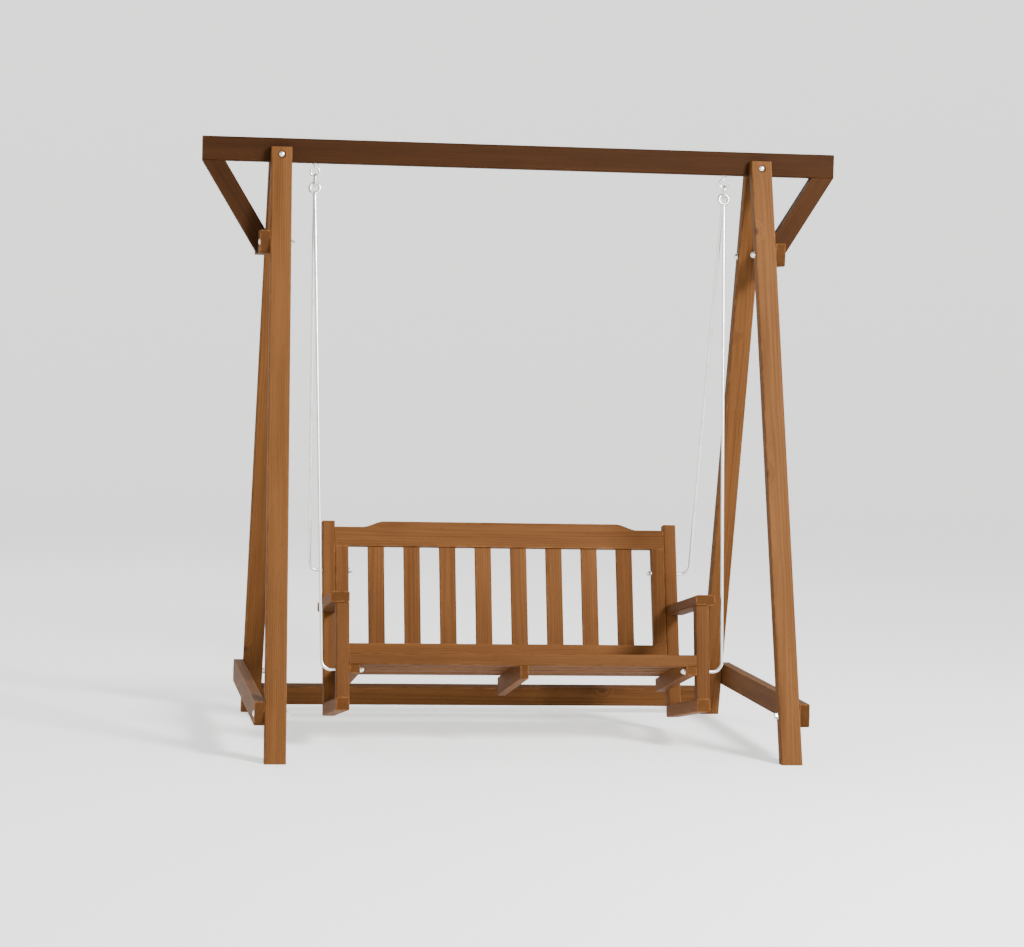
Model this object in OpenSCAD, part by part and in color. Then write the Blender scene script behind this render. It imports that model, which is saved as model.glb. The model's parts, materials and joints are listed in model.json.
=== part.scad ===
// Freestanding garden swing seat.
// A wooden beam on two splayed A-frames carries a slatted bench on four bent steel rods.
// Origin: on the ground under the middle of the beam. +X right, +Y to the rear, +Z up.

/* [Beam and legs] */
// Overall height, ground to the top of the beam
frame_h = 1960; // [1630:1:2350]
// Length of the beam
beam_l = 2100; // [1900:10:2500]
// Height of the beam
beam_h = 78; // [70:1:95]
// Thickness of the beam, front to rear
beam_t = 45; // [40:1:60]
// Width of each leg as seen from the front
leg_w = 68; // [60:1:80]
// Thickness of each leg
leg_t = 40; // [34:1:48]
// Lean of each leg to the front or the rear, degrees
leg_lean = 15; // [12:0.5:20]
// Sideways splay of each A-frame, degrees
leg_splay = 0.75; // [0:0.25:2]
// Distance of each A-frame from the middle, at the top
leg_x = 795; // [760:5:830]
// Height of the beam above the leg tops
leg_drop = 30; // [22:1:36]

/* [Frame boards] */
// Thickness of the cross boards and cleats
board_t = 32; // [24:1:40]
// Height of the cross boards and cleats
board_h = 75; // [60:1:85]
// Height of the top of the low cross boards
board_top = 187; // [160:1:260]
// Distance from the beam's underside down to the top of the upper cleats
cleat_drop = 225; // [190:1:320]
// Distance that board ends stop short of the leg faces
board_setback = 8; // [4:1:14]
// Radius of the lower corners of the board ends
board_corner_r = 12; // [6:1:20]
// Height of the middle of the rear rail
rail_mid = 60; // [50:1:80]
// Length of the joint between a brace and the beam
brace_seat = 74; // [60:1:90]
// Thickness of each brace, front to rear
brace_t = 40; // [34:1:45]

/* [Hooks and links] */
// Distance of each hook from the middle
hook_x = 682; // [670:1:690]
// Radius of the hook wire and of the link wire
wire_r = 4; // [3:0.5:4.5]
// Radius of the hook bend, to the middle of the wire
hook_r = 14.5; // [14:0.5:18]
// Distance from the beam down to the underside of the hook
hook_drop = 46; // [46:1:60]
// Spare room of the two eyes inside the link
link_play = 2; // [1:0.5:5]
// Straight length between the link ends
link_straight = 9; // [7:1:20]

/* [Hanging rods] */
// Radius of the rods
rod_r = 5; // [4.5:0.5:6]
// Radius of the rod eyes, to the middle of their wire
eye_r = 16; // [14:0.5:20]
// How much thinner the forged eye is than its rod, on the radius
eye_thinning = 0.3; // [0.2:0.1:0.6]
// Radius of the lower bend, to the middle of the rod
bend_r = 30; // [24:1:36]
// Distance from the bench side out to the rod
rod_stand_off = 45; // [40:1:50]

/* [Bench] */
// Width across the bench posts
bench_w = 1220; // [1010:1:1240]
// Width and depth of the posts and runners
post = 43; // [38:0.2:52]
// Height of the underside of the armrests above the runner's underside
arm_h = 347; // [300:1:400]
// Thickness of the armrests
arm_t = 33; // [25:1:40]
// Overhang of the armrests outside the posts
arm_over = 19; // [10:1:24]
// Overhang of the armrests in front of the posts
arm_nose = 6; // [0:1:12]
// Height of the runners
runner_h = 42; // [36:1:50]
// Depth from the front posts' front to the back posts' front, at the runner's underside
seat_d = 404; // [380:0.2:485]
// Height of the back posts above the runner's underside
back_h = 660; // [600:1:720]
// Lean of the back against the side frames, degrees
back_lean = 4.4; // [2:0.1:10]
// Tilt of the hung bench, degrees
bench_tilt = 10.8; // [4:0.1:14]
// Height of the runner's underside at its front end, above the ground
bench_z = 134; // [125:1:300]
// Distance of the bench front in front of the beam's middle
bench_y = 327; // [300:0.5:360]

/* [Seat] */
// Height of the underside of the front slat above the runner's underside
seat_h = 147; // [140:1:190]
// Slope of the seat against the runners, degrees
seat_slope = 4; // [2:0.5:6]
// Height of the front slat
front_slat_h = 38; // [30:1:45]
// Depth of the front slat
front_slat_d = 45; // [40:1:60]
// Width of the other seat slats
seat_slat_w = 62; // [50:1:64]
// Thickness of the other seat slats
seat_slat_t = 20; // [16:1:24]
// Gap between the last seat slat and the back posts
seat_end_gap = 5; // [3:0.5:10]
// Width of the side bearers
bearer_w = 34; // [28:1:40]
// Height of the side bearers
bearer_h = 46; // [42:1:60]
// Width of the middle bearer
mid_bearer_w = 26; // [22:1:34]
// Height of the middle bearer
mid_bearer_h = 62; // [46:1:70]

/* [Back] */
// Thickness of the back rails and stiles
back_t = 28; // [24:1:32]
// Height of the top rail at its ends
top_rail_h = 65; // [55:1:80]
// Rise of the crown over the ends of the top rail
crown_rise = 20; // [8:1:30]
// Length of the low flat at each end of the top rail
crown_flat = 92; // [60:1:120]
// Length of the S-shaped rise
crown_sweep = 76; // [50:1:110]
// Height of the bottom rail
bottom_rail_h = 60; // [50:1:70]
// Height of the top of the bottom rail above the runner's underside
bottom_rail_top = 244; // [236:1:280]
// Width of the stiles
stile_w = 45; // [38:1:55]
// Width of the back slats
back_slat_w = 56; // [44:1:66]
// Thickness of the back slats
back_slat_t = 15; // [12:1:18]
// Length of the slat tenons in the rails
tenon = 12; // [8:1:16]
// Height of the rear rod ends above the runner's underside
rear_rod_h = 491; // [440:1:520]
// Height of the front rod ends above the runner's underside
front_rod_h = 132; // [128:1:145]

/* [Fasteners] */
// Radius of the frame bolts
bolt_r = 5; // [4:0.5:6]
// Radius of the wood screws
screw_r = 2.5; // [2:0.25:3]
// Radial gap round a fastener in its hole
hole_gap = 0.15; // [0.1:0.05:0.3]

/* [Hidden] */
$fn = 48;

// Sides: the right side is modelled and the left one is its mirror image
RIGHT = 1;
LEFT = -1;
// Ends of an A-frame: front and its mirror image
FRONT = 1;
REAR = -1;

// Gap that keeps two moving steel pieces apart
running_gap = 0.3;
// Overlap of joined shapes in one piece
join = 0.5;
// Reach of a cutting shape past the piece that it cuts
past = 400;
// Edge radius of the planed timber
edge_r = 5;
// Flats in a rounded board corner
corner_steps = 8;
// Size of a forged knuckle over its wire
knuckle = 1.06;
// Swelling of a rod in its bend, on the radius, and the length of straight rod that runs into it
bend_swell = 0.15;
bend_lap = 1.5;

wood = "#9c6b3f";
wood_dark = "#7a4f2b";
steel = "#c3c7c9";

// Beam
beam_under = frame_h - beam_h;
leg_top = frame_h - leg_drop;
cleat_top = beam_under - cleat_drop;
beam_bolt_z = beam_under + 23;

// Carriage bolts, and nuts and washers by the radius of their shaft
head_r = 2 * bolt_r;
head_h = bolt_r;
washer_t = 2;
bolt_tip = 4;
function nut_r(shaft_r) = 1.9 * shaft_r;
function nut_h(shaft_r) = 1.6 * shaft_r;
function washer_r(shaft_r) = 2.2 * shaft_r;
function nut_reach(shaft_r) = nut_h(shaft_r) + washer_t + bolt_tip;
recess_r = washer_r(bolt_r) + 2;
recess_floor = 5;

// Leg faces in an A-frame: y of the inner face and of the outer face at a height
function leg_inner_y(z) = beam_t / 2 + (beam_under - z) * tan(leg_lean);
function leg_outer_y(z) = leg_inner_y(z) + leg_t / cos(leg_lean);
function leg_mid_y(z) = (leg_inner_y(z) + leg_outer_y(z)) / 2;
// World x of a point of the right A-frame, from its local x and z
function splayed_x(x, z) = leg_x + x * cos(leg_splay) + (frame_h - z) * sin(leg_splay);

cleat_mid = cleat_top - board_h / 2;
board_mid = board_top - board_h / 2;
board_outer = leg_w / 2 + board_t;
cleat_bottom = cleat_top - board_h;

// Brace: from the beam's end down to the outer face of the cleat
brace_foot_x = splayed_x(board_outer, cleat_bottom);
brace_slope = (beam_l / 2 - brace_foot_x) / (beam_under - cleat_bottom);
function brace_outer_x(z) = beam_l / 2 - (beam_under - z) * brace_slope;
brace_screw_x = beam_l / 2 - 0.55 * brace_seat;
brace_screw_z = cleat_mid + 6;
screw_head_r = 2 * screw_r;
screw_head_h = 1.4 * screw_r;
brace_recess = 14;

// Hook, link and eyes, one above the other
hook_z = beam_under - hook_drop + wire_r + hook_r;
swing_z = hook_z - hook_r;
collar_r = 2.4 * wire_r;
collar_t = 4;
hook_thread = 40;
hook_tip_angle = 20;
eye_wire_r = rod_r - eye_thinning;
eye_y = eye_wire_r + running_gap;
eye_orbit = eye_y + link_play;
link_r = wire_r + running_gap + eye_wire_r + eye_orbit;
link_top_z = swing_z + wire_r + running_gap - (link_r - wire_r);
link_low_z = link_top_z - link_straight;
eye_top_z = link_low_z - sqrt(eye_orbit * eye_orbit - eye_y * eye_y);

// Bench places, in the bench frame: x to the right, y to the rear, z up along the posts
half_w = bench_w / 2;
inner_w = half_w - post;
rod_x = half_w + rod_stand_off;
front_rod_y = post / 2;
rear_rod_y = seat_d + rear_rod_h * tan(back_lean) + back_t / 2;
function bench_to_y(y, z) = -bench_y + y * cos(bench_tilt) + z * sin(bench_tilt);
function bench_to_z(y, z) = bench_z - y * sin(bench_tilt) + z * cos(bench_tilt);
back_long = 1 / cos(back_lean);
// Distance along the sloped seat to the front of the back
seat_end = seat_d + seat_h * tan(back_lean);
bearer_l = seat_end + post;
slat_under = front_slat_h - seat_slat_t;
seat_slats = 5;
seat_gap = (seat_end - seat_end_gap - front_slat_d - seat_slats * seat_slat_w) / seat_slats;
function seat_slat_y(i) = front_slat_d + seat_gap + (i - 1) * (seat_slat_w + seat_gap);
slat_screw_l = 40;
slat_screw_x = inner_w - bearer_w / 2;
frame_screw_l = 70;

// Back, in the back frame: y from the posts' front, z along the posts
rail_low = bottom_rail_top * back_long;
rail_high = (back_h - crown_rise - top_rail_h) * back_long;
stile_inner = inner_w - stile_w;
back_slats = 8;
back_gap = (2 * stile_inner - back_slats * back_slat_w) / (back_slats + 1);
function back_slat_x(i) = -stile_inner + back_gap + (i - 1) * (back_slat_w + back_gap);

// Rod ends
front_rod_in = inner_w - bearer_w - nut_reach(rod_r);
rear_rod_in = stile_inner - nut_reach(rod_r);

// ---- Placing ----

module on_side(side) {
    mirror([side == LEFT ? 1 : 0, 0, 0]) children();
}

module at_end(end) {
    mirror([0, end == REAR ? 1 : 0, 0]) children();
}

// An upright A-frame plane turned out about the beam's top edge
module a_frame(side) {
    on_side(side) translate([leg_x, 0, frame_h]) rotate([0, -leg_splay, 0])
        translate([0, 0, -frame_h]) children();
}

// A leg's own frame: z along the leg, y = 0 on its inner face, origin under the beam's edge
module along_leg() {
    translate([0, -beam_t / 2, beam_under]) rotate([-leg_lean, 0, 0]) children();
}

module bench() {
    translate([0, -bench_y, bench_z]) rotate([-bench_tilt, 0, 0]) children();
}

// The back's frame inside the bench
module back() {
    bench() translate([0, seat_d, 0]) rotate([-back_lean, 0, 0]) children();
}

// The seat's frame inside the bench, z = 0 on the underside of the front slat
module seat() {
    bench() translate([0, 0, seat_h]) rotate([-seat_slope, 0, 0]) children();
}

// ---- Basic shapes ----

module rounded_rect(w, h, r) {
    union() {
        translate([r, 0]) square([w - 2 * r, h]);
        translate([0, r]) square([w, h - 2 * r]);
        for (x = [r, w - r], y = [r, h - r]) translate([x, y]) circle(r);
    }
}

// Timber from one corner, its long edges rounded, along z
module timber_z(w, d, l, r = edge_r) {
    linear_extrude(l) rounded_rect(w, d, r);
}

// Timber along y
module timber_y(w, l, h, r = edge_r) {
    translate([0, l, 0]) rotate([90, 0, 0]) timber_z(w, h, l, r);
}

// Timber along x
module timber_x(l, d, h, r = edge_r) {
    rotate([90, 0, 90]) timber_z(d, h, l, r);
}

// A cylinder along x from x0 to x1
module rod_x(x0, x1, r) {
    translate([x0, 0, 0]) rotate([0, 90, 0]) cylinder(h = x1 - x0, r = r);
}

// A cylinder along y from y0 to y1
module rod_y(y0, y1, r) {
    translate([0, y1, 0]) rotate([90, 0, 0]) cylinder(h = y1 - y0, r = r);
}

// Carriage bolt along +z, its domed head below z = 0
module carriage_bolt(l) {
    intersection() {
        translate([0, 0, head_h]) sphere(r = head_r * 1.12);
        translate([0, 0, -head_h]) cylinder(h = head_h, r = head_r);
    }
    translate([0, 0, -join]) cylinder(h = l + join, r = bolt_r);
}

// Washer and hexagon nut along +z from z = 0, bored for a shaft
module nut_and_washer(shaft_r) {
    difference() {
        union() {
            cylinder(h = washer_t, r = washer_r(shaft_r));
            cylinder(h = washer_t + nut_h(shaft_r), r = nut_r(shaft_r), $fn = 6);
        }
        translate([0, 0, -1]) cylinder(h = washer_t + nut_h(shaft_r) + 2, r = shaft_r + hole_gap / 3);
    }
}

// Countersunk wood screw along +z, its head's flat top at z = 0
module wood_screw(l) {
    cylinder(h = screw_head_h, r1 = screw_head_r, r2 = screw_r);
    cylinder(h = l, r = screw_r);
}

// The hole that a wood screw sits in, open above its head
module screw_hole(l) {
    cylinder(h = screw_head_h + hole_gap, r1 = screw_head_r + hole_gap, r2 = screw_r + hole_gap);
    translate([0, 0, -join]) cylinder(h = l + join + 1, r = screw_r + hole_gap);
    translate([0, 0, -past]) cylinder(h = past, r = screw_head_r + hole_gap);
}

// ---- Beam and A-frames ----

module beam_block() {
    translate([-beam_l / 2, -beam_t / 2, beam_under]) cube([beam_l, beam_t, beam_h]);
}

module beam_bolt_line() {
    translate([splayed_x(0, beam_bolt_z), 0, beam_bolt_z]) children();
}

module top_beam() {
    color(wood_dark) difference() {
        translate([-beam_l / 2, -beam_t / 2, beam_under]) timber_x(beam_l, beam_t, beam_h);
        for (side = [LEFT, RIGHT]) on_side(side) {
            beam_bolt_line() rod_y(-beam_t, beam_t, bolt_r + hole_gap);
            translate([hook_x, 0, beam_under - 1])
                cylinder(h = hook_thread + 3, r = wire_r + hole_gap);
            brace_top_screw() screw_hole(brace_top_screw_l());
        }
    }
}

module leg(side, end) {
    color(wood) difference() {
        intersection() {
            a_frame(side) at_end(end) along_leg()
                translate([-leg_w / 2, -leg_t, -frame_h * 1.2]) timber_z(leg_w, leg_t, frame_h * 1.4);
            translate([-beam_l, -beam_l, 0]) cube([2 * beam_l, 2 * beam_l, leg_top]);
        }
        beam_block();
        on_side(side) at_end(end) beam_bolt_line() {
            rod_y(-past, 0, bolt_r + hole_gap);
            translate([0, -leg_outer_y(beam_bolt_z) + recess_floor, 0]) rod_y(-past, 0, recess_r);
        }
        a_frame(side) at_end(end) for (z = [cleat_mid, board_mid])
            translate([0, -leg_mid_y(z), z]) rod_x(-leg_w, leg_w, bolt_r + hole_gap);
        if (end == REAR) rail_screw_places(side) screw_hole(rail_screw_l);
    }
}

// A board on the outer faces of both legs, from its top and its reach to each end
module side_board(side, top, reach) {
    mid = top - board_h / 2;
    color(wood) a_frame(side) difference() {
        translate([leg_w / 2, 0, top - board_h]) rotate([90, 0, 90]) linear_extrude(board_t)
            board_outline(reach);
        for (end = [FRONT, REAR]) at_end(end) translate([0, -leg_mid_y(mid), mid])
            rod_x(0, leg_w + board_t, bolt_r + hole_gap);
    }
}

// Points of a quarter circle about (y, z), starting at the given angle
function corner(y, z, r, from) = [for (i = [0:corner_steps])
    [y + r * cos(from + 90 * i / corner_steps), z + r * sin(from + 90 * i / corner_steps)]];

// Outline of a board with its two lower corners rounded
module board_outline(reach) {
    r = board_corner_r;
    polygon(concat(
        [[reach, board_h], [-reach, board_h]],
        corner(-reach + r, r, r, 180),
        corner(reach - r, r, r, 270)
    ));
}

module cross_board(side) {
    side_board(side, board_top, leg_outer_y(board_mid) - board_setback);
}

module cleat(side) {
    difference() {
        side_board(side, cleat_top, leg_outer_y(cleat_mid) - board_setback);
        on_side(side) brace_low_screw() screw_hole(brace_low_screw_l());
    }
}

function brace_top_screw_z() = beam_under - (beam_l / 2 - brace_screw_x) / brace_slope + brace_recess;
function brace_top_screw_l() = beam_under - brace_top_screw_z() + 35;
function brace_low_screw_l() = brace_outer_x(brace_screw_z) - brace_recess / 2
    - splayed_x(board_outer, brace_screw_z) + 24;

// Vertical screw through the brace into the beam
module brace_top_screw() {
    translate([brace_screw_x, 0, brace_top_screw_z()]) children();
}

// Level screw through the brace into the cleat
module brace_low_screw() {
    translate([brace_outer_x(brace_screw_z) - brace_recess / 2, 0, brace_screw_z])
        rotate([0, -90, 0]) children();
}

module brace(side) {
    reach = 2 * board_h;
    low = cleat_bottom;
    color(wood_dark) on_side(side) difference() {
        translate([0, brace_t / 2, 0]) rotate([90, 0, 0]) linear_extrude(brace_t) polygon([
            [beam_l / 2, beam_under], [beam_l / 2 - brace_seat, beam_under],
            [brace_outer_x(low) - brace_seat, low], [brace_outer_x(low), low]
        ]);
        a_frame(RIGHT) translate([board_outer - reach, -brace_t, cleat_top - reach])
            cube([reach, 2 * brace_t, reach]);
        brace_top_screw() screw_hole(brace_top_screw_l());
        brace_low_screw() screw_hole(brace_low_screw_l());
    }
}

rail_screw_l = 95;

// Two screws through a rear leg's outer face into the end of the rear rail
module rail_screw_places(side) {
    a_frame(side) at_end(REAR) along_leg() for (dz = [-leg_w / 4, leg_w / 4])
        translate([leg_w / 2 - 2, -leg_t / 2, -(beam_under - rail_mid) / cos(leg_lean) + dz])
            rotate([0, -90, 0]) children();
}

module rear_rail() {
    half = splayed_x(0, rail_mid);
    color(wood) difference() {
        at_end(REAR) along_leg()
            translate([-half, -leg_t, -(beam_under - rail_mid) / cos(leg_lean) - leg_w / 2])
                timber_x(2 * half, leg_t, leg_w);
        for (side = [LEFT, RIGHT]) {
            a_frame(side) at_end(REAR) along_leg()
                translate([-leg_w / 2, -2 * leg_t, -frame_h * 1.2])
                    cube([leg_w, 3 * leg_t, frame_h]);
            a_frame(side) translate([0, 0, -past]) cube([past, beam_l, 2 * past]);
            rail_screw_places(side) screw_hole(rail_screw_l);
        }
    }
}

// ---- Frame fasteners ----

beam_bolt_head_y = leg_outer_y(beam_bolt_z) - recess_floor;
side_bolt_l = leg_w + board_t + nut_reach(bolt_r);

module beam_bolts() {
    color(steel) for (side = [LEFT, RIGHT]) on_side(side) beam_bolt_line()
        translate([0, -beam_bolt_head_y, 0]) rotate([-90, 0, 0])
            carriage_bolt(2 * beam_bolt_head_y + nut_reach(bolt_r));
}

// Bolts through a side board and both legs, their heads outside
module side_bolts(z) {
    color(steel) for (side = [LEFT, RIGHT]) a_frame(side) for (end = [FRONT, REAR]) at_end(end)
        translate([board_outer, -leg_mid_y(z), z]) rotate([0, -90, 0]) carriage_bolt(side_bolt_l);
}

module cleat_bolts() {
    side_bolts(cleat_mid);
}

module board_bolts() {
    side_bolts(board_mid);
}

module frame_nuts() {
    color(steel) for (side = [LEFT, RIGHT]) {
        on_side(side) beam_bolt_line() translate([0, beam_bolt_head_y, 0]) rotate([-90, 0, 0])
            nut_and_washer(bolt_r);
        a_frame(side) for (end = [FRONT, REAR], z = [cleat_mid, board_mid]) at_end(end)
            translate([-leg_w / 2, -leg_mid_y(z), z]) rotate([0, -90, 0]) nut_and_washer(bolt_r);
    }
}

module brace_screws() {
    color(steel) for (side = [LEFT, RIGHT]) on_side(side) {
        brace_top_screw() wood_screw(brace_top_screw_l());
        brace_low_screw() wood_screw(brace_low_screw_l());
    }
}

module rail_screws() {
    color(steel) for (side = [LEFT, RIGHT]) rail_screw_places(side) wood_screw(rail_screw_l);
}

// ---- Hooks, links and rods ----

module hook(side) {
    color(steel) on_side(side) translate([hook_x, 0, hook_z]) {
        rotate([90, 0, 0]) rotate([0, 0, 90])
            rotate_extrude(angle = 270 + hook_tip_angle) translate([hook_r, 0]) circle(wire_r);
        rotate([0, -hook_tip_angle, 0]) translate([hook_r, 0, 0]) sphere(wire_r * knuckle);
        translate([0, 0, hook_r]) sphere(wire_r * knuckle);
        translate([0, 0, hook_r]) cylinder(h = hook_drop - wire_r - 2 * hook_r + hook_thread, r = wire_r);
        translate([0, 0, beam_under - hook_z - collar_t]) cylinder(h = collar_t, r = collar_r);
    }
}

module link(side) {
    color(steel) on_side(side) translate([hook_x, 0, 0]) rotate([0, -90, 0]) {
        translate([link_top_z, 0, 0]) rotate([0, 0, -90])
            rotate_extrude(angle = 180) translate([link_r, 0]) circle(wire_r);
        translate([link_low_z, 0, 0]) rotate([0, 0, 90])
            rotate_extrude(angle = 180) translate([link_r, 0]) circle(wire_r);
        for (y = [-link_r, link_r]) translate([link_low_z, y, 0]) rotate([0, 90, 0])
            cylinder(h = link_straight, r = wire_r);
    }
}

// A hanging rod of the right side in its own plane: x out, z up, the eye's top at z = 0.
// It drops from the eye, bends in, and ends level at inner_x; drop is measured along the rod's plane.
module rod_shape(drop, inner_x) {
    start = -2 * eye_r;
    centre_x = rod_x - bend_r;
    centre_z = -drop + bend_r;
    reach_x = centre_x - hook_x;
    reach_z = start - centre_z;
    reach = sqrt(reach_x * reach_x + reach_z * reach_z);
    turn = atan2(reach_x, reach_z) + asin(bend_r / reach);
    straight = sqrt(reach * reach - bend_r * bend_r);
    translate([hook_x, 0, -eye_r]) rotate([90, 0, 0])
        rotate_extrude() translate([eye_r, 0]) circle(eye_wire_r);
    translate([hook_x, 0, start]) rotate([0, 180 - turn, 0])
        cylinder(h = straight + bend_lap, r = rod_r);
    translate([centre_x, 0, centre_z]) rotate([90, 0, 0]) rotate([0, 0, -90])
        rotate_extrude(angle = 90 + turn) translate([bend_r, 0]) circle(rod_r + bend_swell);
    translate([0, 0, -drop]) rod_x(inner_x, centre_x + bend_lap, rod_r);
}

// A rod from the link to a point of the bench frame
module hanging_rod(side, end, y, z, inner_x) {
    end_y = bench_to_y(y, z);
    end_z = bench_to_z(y, z);
    top_y = -end * eye_y;
    drop_y = end_y - top_y;
    drop_z = eye_top_z - end_z;
    color(steel) on_side(side) translate([0, top_y, eye_top_z])
        rotate([atan2(drop_y, drop_z), 0, 0])
            rod_shape(sqrt(drop_y * drop_y + drop_z * drop_z), inner_x);
}

module front_rod(side) {
    hanging_rod(side, FRONT, front_rod_y, front_rod_h, front_rod_in);
}

module rear_rod(side) {
    hanging_rod(side, REAR, rear_rod_y, rear_rod_h, rear_rod_in);
}

module rod_nuts() {
    color(steel) for (side = [LEFT, RIGHT]) bench() on_side(side) {
        translate([inner_w - bearer_w, front_rod_y, front_rod_h]) rotate([0, -90, 0])
            nut_and_washer(rod_r);
        translate([stile_inner, rear_rod_y, rear_rod_h]) rotate([0, -90, 0])
            nut_and_washer(rod_r);
    }
}

// Level holes for the rod ends, in the bench frame
module rod_holes() {
    r = rod_r + hole_gap;
    translate([0, front_rod_y, front_rod_h]) rod_x(0, half_w + 1, r);
    translate([0, rear_rod_y, rear_rod_h]) rod_x(0, half_w + 1, r);
}

// ---- Bench side frames ----

module runner(side) {
    l = seat_d + post;
    color(wood) bench() on_side(side) difference() {
        translate([inner_w, 0, 0]) intersection() {
            timber_y(post, l, runner_h);
            rotate([90, 0, 90]) linear_extrude(post) union() {
                translate([edge_r * 2, 0]) square([l, runner_h]);
                translate([0, edge_r * 2]) square([l, runner_h]);
                translate([edge_r * 2, edge_r * 2]) circle(edge_r * 2);
            }
        }
        seat_frame_screw_places() screw_hole(frame_screw_l);
    }
}

module front_post(side) {
    color(wood) bench() on_side(side) difference() {
        translate([inner_w, 0, runner_h]) timber_z(post, post, arm_h - runner_h);
        rod_holes();
        seat_frame_screw_places() screw_hole(frame_screw_l);
    }
}

module back_post(side) {
    color(wood) difference() {
        back() on_side(side) translate([inner_w, 0, -post]) timber_z(post, post, back_h * back_long + post);
        bench() on_side(side) {
            translate([0, -past, -past]) cube([2 * half_w, seat_d + 3 * past, past + runner_h]);
            rod_holes();
            seat_frame_screw_places() screw_hole(frame_screw_l);
        }
    }
}

module armrest(side) {
    color(wood) difference() {
        bench() on_side(side) translate([inner_w, -arm_nose, arm_h])
            timber_y(post + arm_over, seat_d + 2 * post, arm_t, edge_r * 1.2);
        back() translate([-half_w * 2, 0, 0]) cube([half_w * 4, past, 2 * arm_h]);
        bench() on_side(side) seat_frame_screw_places() screw_hole(frame_screw_l);
    }
}

// ---- Seat ----

module bearer_shape(w, h) {
    difference() {
        translate([0, 1, slat_under - h]) timber_y(w, bearer_l - 1, h, 3);
        translate([-1, -1, 0]) cube([w + 2, front_slat_d + 1, h]);
    }
}

module bearer(side) {
    color(wood) difference() {
        seat() on_side(side) translate([inner_w - bearer_w, 0, 0]) bearer_shape(bearer_w, bearer_h);
        bench() on_side(side) {
            rod_holes();
            seat_frame_screw_places() screw_hole(frame_screw_l);
        }
        slat_screw_places() screw_hole(slat_screw_l);
    }
}

module bearer_middle() {
    color(wood) difference() {
        seat() translate([-mid_bearer_w / 2, 0, 0]) bearer_shape(mid_bearer_w, mid_bearer_h);
        slat_screw_places() screw_hole(slat_screw_l);
    }
}

module seat_slat_front() {
    color(wood) difference() {
        seat() translate([-inner_w, 0, 0]) timber_x(2 * inner_w, front_slat_d, front_slat_h);
        slat_screw_places() screw_hole(slat_screw_l);
    }
}

module seat_slat(i) {
    color(wood) difference() {
        seat() translate([-inner_w, seat_slat_y(i), slat_under])
            timber_x(2 * inner_w, seat_slat_w, seat_slat_t, edge_r * 0.8);
        slat_screw_places() screw_hole(slat_screw_l);
    }
}

// Screws through the middle of each seat slat into the three bearers
module slat_screw_places() {
    middles = concat([front_slat_d / 2], [for (i = [1:seat_slats]) seat_slat_y(i) + seat_slat_w / 2]);
    seat() for (x = [-slat_screw_x, 0, slat_screw_x], y = middles)
        translate([x, y, front_slat_h - 1]) rotate([180, 0, 0]) children();
}

module slat_screws() {
    color(steel) slat_screw_places() wood_screw(slat_screw_l);
}

// ---- Back ----

// Outline of the top rail: level ends, an S-shaped rise and a level crown
module top_rail_outline() {
    low = rail_high;
    ends = low + top_rail_h;
    steps = 12;
    x0 = inner_w - crown_flat;
    rise = [for (i = [0:steps]) [
        x0 - crown_sweep * i / steps,
        ends + crown_rise * (1 - cos(180 * i / steps)) / 2
    ]];
    fall = [for (i = [steps:-1:0]) [-rise[i][0], rise[i][1]]];
    polygon(concat([[-inner_w, low], [inner_w, low], [inner_w, ends]], rise, fall, [[-inner_w, ends]]));
}

module back_slat_shape(i, gap) {
    translate([back_slat_x(i) - gap, (back_t - back_slat_t) / 2 - gap, rail_low - tenon - gap])
        cube([back_slat_w + 2 * gap, back_slat_t + 2 * gap, rail_high - rail_low + 2 * tenon + 2 * gap]);
}

module back_mortises() {
    for (i = [1:back_slats]) back_slat_shape(i, hole_gap);
}

module back_top_rail() {
    color(wood) difference() {
        back() difference() {
            translate([0, back_t, 0]) rotate([90, 0, 0]) linear_extrude(back_t) top_rail_outline();
            back_mortises();
        }
        bench() both_seat_frame_screws() screw_hole(frame_screw_l);
    }
}

module back_bottom_rail() {
    color(wood) difference() {
        back() difference() {
            translate([-inner_w, 0, rail_low - bottom_rail_h])
                timber_x(2 * inner_w, back_t, bottom_rail_h, 3);
            back_mortises();
        }
        bench() both_seat_frame_screws() screw_hole(frame_screw_l);
    }
}

module back_stile(side) {
    color(wood) difference() {
        back() on_side(side) translate([stile_inner, 0, rail_low])
            timber_z(stile_w, back_t, rail_high - rail_low, 3);
        bench() on_side(side) rod_holes();
    }
}

module back_slat(i) {
    color(wood) back() translate([back_slat_x(i), (back_t - back_slat_t) / 2, rail_low - tenon])
        timber_z(back_slat_w, back_slat_t, rail_high - rail_low + 2 * tenon, 3);
}

// ---- Bench frame screws of the right side, in the bench frame ----

module seat_frame_screw_places() {
    mid_x = inner_w + post / 2;
    // Up through the runner into the front post and the back post
    for (y = [post / 2, seat_d + post / 2]) translate([mid_x, y, 8]) children();
    // Down through the armrest into the front post
    translate([mid_x, post / 2, arm_h + arm_t - 1]) rotate([180, 0, 0]) children();
    translate([0, seat_d, 0]) rotate([-back_lean, 0, 0]) {
        // From behind through the back post into the armrest
        translate([mid_x, post - 1, (arm_h + arm_t / 2) * back_long]) rotate([90, 0, 0]) children();
        // Through the back post's outer face into the bearer and the back rails
        for (z = [seat_h - 30, rail_low - bottom_rail_h / 2, rail_high + top_rail_h / 2])
            translate([half_w - 1, back_t / 2, z]) rotate([0, -90, 0]) children();
    }
}

module both_seat_frame_screws() {
    for (side = [LEFT, RIGHT]) on_side(side) seat_frame_screw_places() children();
}

module seat_frame_screws() {
    color(steel) bench() both_seat_frame_screws() wood_screw(frame_screw_l);
}

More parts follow.
